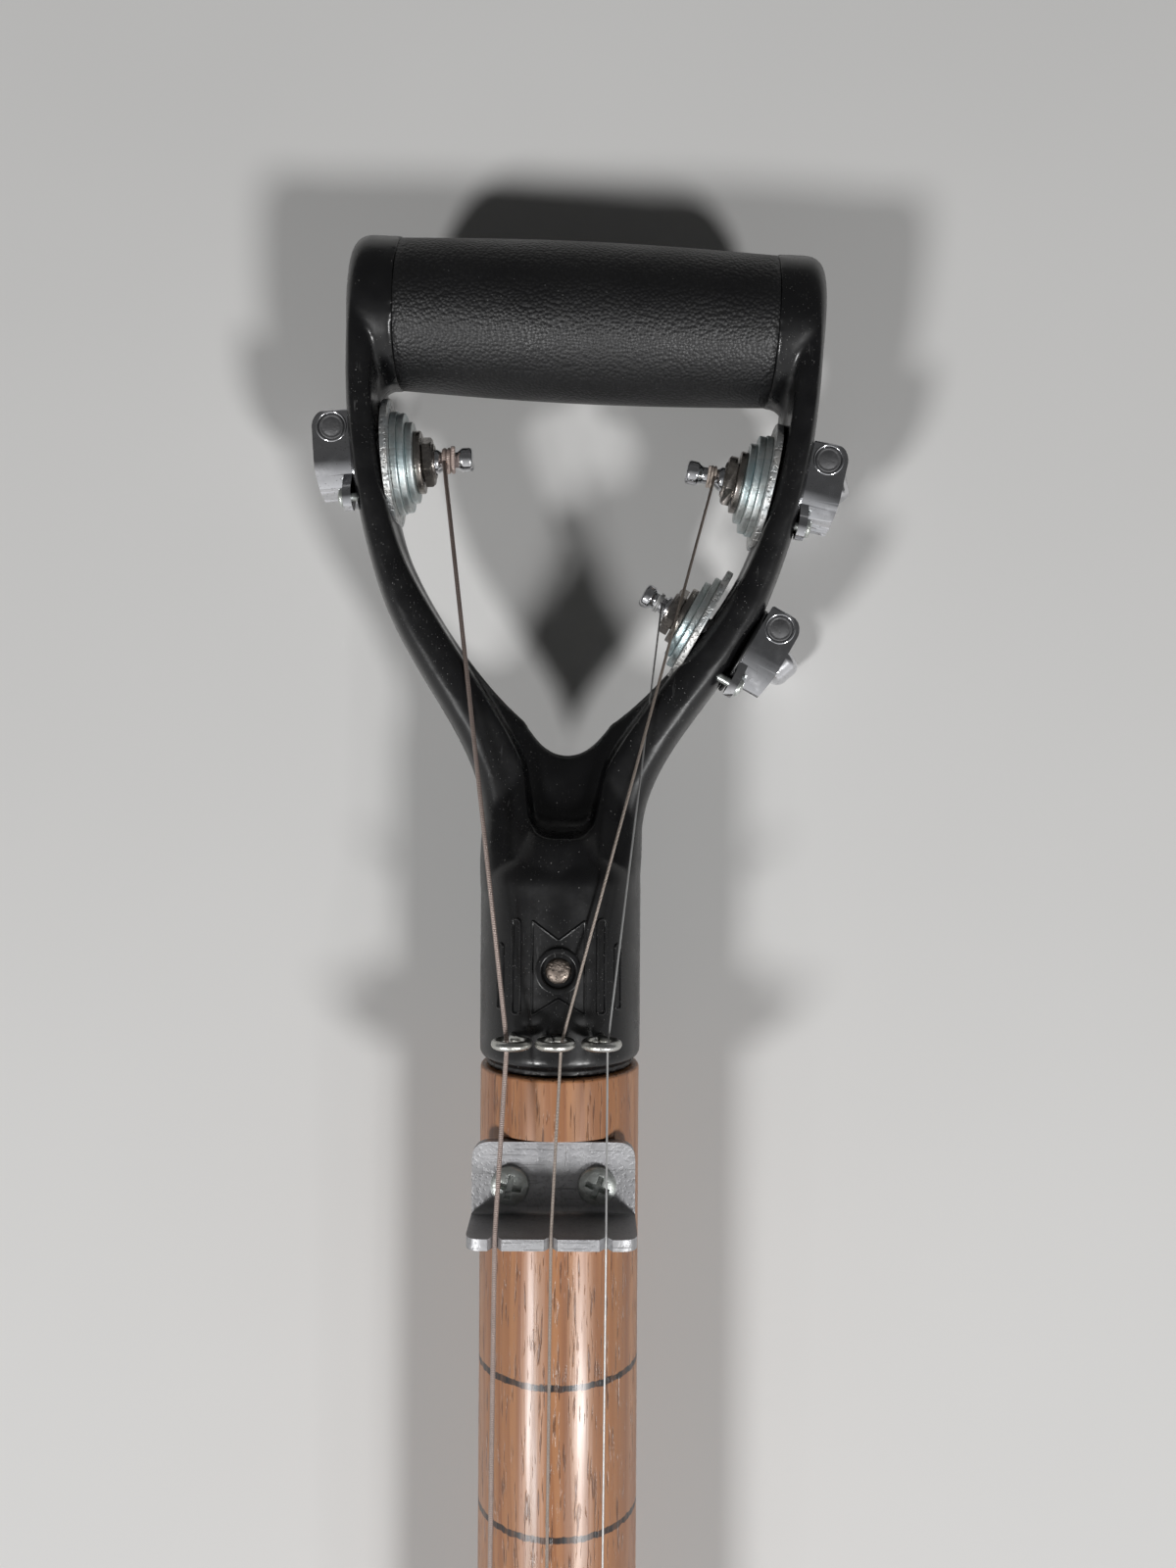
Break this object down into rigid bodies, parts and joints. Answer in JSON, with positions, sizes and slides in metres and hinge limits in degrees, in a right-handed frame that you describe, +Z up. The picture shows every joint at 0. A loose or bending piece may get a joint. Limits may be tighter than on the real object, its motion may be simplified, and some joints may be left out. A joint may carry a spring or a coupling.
{
  "type": "shovel guitar",
  "caption": "Stringed instrument made from a D-handled round-point shovel, with geared tuners on the grip's arms, a metal angle nut and a bridge on the blade.",
  "frame": {"origin": "middle of the object's box, in the plane that the tuner buttons and the blade's back lie on", "axes": "+Y from the blade to the D-grip, +Z up towards the strings, +X to the right as seen from the string side with the grip at the top"},
  "size_m": [0.216, 1.04, 0.066],
  "materials": {
    "moulded_grip": "black moulded, semi-gloss with fine dust",
    "grip_sleeve": "black, fine moulded texture",
    "rivet_steel": "plain steel rivet",
    "ash_wood": "lacquered ash with dark open grain",
    "aluminium_angle": "mill finish, lightly scratched",
    "screw_steel": "bright zinc plated",
    "zinc_wire": "bright zinc plated wire",
    "zinc_washer": "zinc plated, pitted rims",
    "dark_nickel": "dark nickel",
    "chrome": "polished chrome plate",
    "dark_plug": "dark matte",
    "black_shim": "black",
    "blade_paint": "dark enamel, worn at the point",
    "wound_string": "bronze wound",
    "plain_string": "plain steel wire"
  },
  "bodies": {
    "instrument": {"d_grip": "moulded_grip", "grip_sleeve": "grip_sleeve", "handle_rivet": "rivet_steel", "shaft": "ash_wood", "nut_angle": "aluminium_angle", "nut_screw_left": "screw_steel", "nut_screw_right": "screw_steel", "screw_eye_left": "zinc_wire", "screw_eye_middle": "zinc_wire", "screw_eye_right": "zinc_wire", "blade": "blade_paint", "blade_rivet": "rivet_steel", "bridge_angle": "aluminium_angle", "bridge_screw_left": "screw_steel", "bridge_screw_right": "screw_steel", "housing_left": "chrome", "mount_screw_left": "screw_steel", "worm_plug_left": "dark_plug", "washer_left_1": "zinc_washer", "washer_left_2": "zinc_washer", "washer_left_3": "zinc_washer", "washer_left_4": "zinc_washer", "washer_left_5": "dark_nickel", "bushing_left": "dark_nickel", "string_left": "wound_string", "housing_right_upper": "chrome", "mount_screw_right_upper": "screw_steel", "worm_plug_right_upper": "dark_plug", "washer_right_upper_1": "zinc_washer", "washer_right_upper_2": "zinc_washer", "washer_right_upper_3": "zinc_washer", "washer_right_upper_4": "zinc_washer", "washer_right_upper_5": "dark_nickel", "bushing_right_upper": "dark_nickel", "string_right_upper": "wound_string", "housing_right_lower": "chrome", "mount_screw_right_lower": "screw_steel", "worm_plug_right_lower": "dark_plug", "washer_right_lower_1": "zinc_washer", "washer_right_lower_2": "zinc_washer", "washer_right_lower_3": "zinc_washer", "washer_right_lower_4": "dark_nickel", "shim_washer_right_lower": "black_shim", "bushing_right_lower": "dark_nickel", "string_right_lower": "plain_string"},
    "button_left": {"worm_shaft_left": "screw_steel", "button_left": "chrome", "button_screw_left": "screw_steel"},
    "post_left": {"string_post_left": "chrome", "winding_left": "wound_string"},
    "button_right_upper": {"worm_shaft_right_upper": "screw_steel", "button_right_upper": "chrome", "button_screw_right_upper": "screw_steel"},
    "post_right_upper": {"string_post_right_upper": "chrome", "winding_right_upper": "wound_string"},
    "button_right_lower": {"worm_shaft_right_lower": "screw_steel", "button_right_lower": "chrome", "button_screw_right_lower": "screw_steel"},
    "post_right_lower": {"string_post_right_lower": "chrome", "winding_right_lower": "plain_string"}
  },
  "joints": [
    {"name": "button_turn_left", "type": "hinge", "parent": "instrument", "child": "button_left", "pos_m": [-0.05433, 0.47314, 0.033], "axis": [0, 0, 1], "continuous": true},
    {"name": "post_turn_left", "type": "hinge", "parent": "instrument", "child": "post_left", "pos_m": [-0.04973, 0.46583, 0.033], "axis": [-0.9978, -0.0658, 0], "continuous": true},
    {"name": "button_turn_right_upper", "type": "hinge", "parent": "instrument", "child": "button_right_upper", "pos_m": [0.06239, 0.46601, 0.033], "axis": [0, 0, 1], "continuous": true},
    {"name": "post_turn_right_upper", "type": "hinge", "parent": "instrument", "child": "post_right_upper", "pos_m": [0.05681, 0.45941, 0.033], "axis": [-0.9787, 0.2055, 0], "continuous": true},
    {"name": "button_turn_right_lower", "type": "hinge", "parent": "instrument", "child": "button_right_lower", "pos_m": [0.05122, 0.42629, 0.033], "axis": [0, 0, 1], "continuous": true},
    {"name": "post_turn_right_lower", "type": "hinge", "parent": "instrument", "child": "post_right_lower", "pos_m": [0.0439, 0.4217, 0.033], "axis": [-0.87, 0.493, 0], "continuous": true}
  ],
  "couplings": [
    {"joint": "post_turn_left", "follows": "button_turn_left", "ratio": 0.066667},
    {"joint": "post_turn_right_upper", "follows": "button_turn_right_upper", "ratio": 0.066667},
    {"joint": "post_turn_right_lower", "follows": "button_turn_right_lower", "ratio": 0.066667}
  ]
}
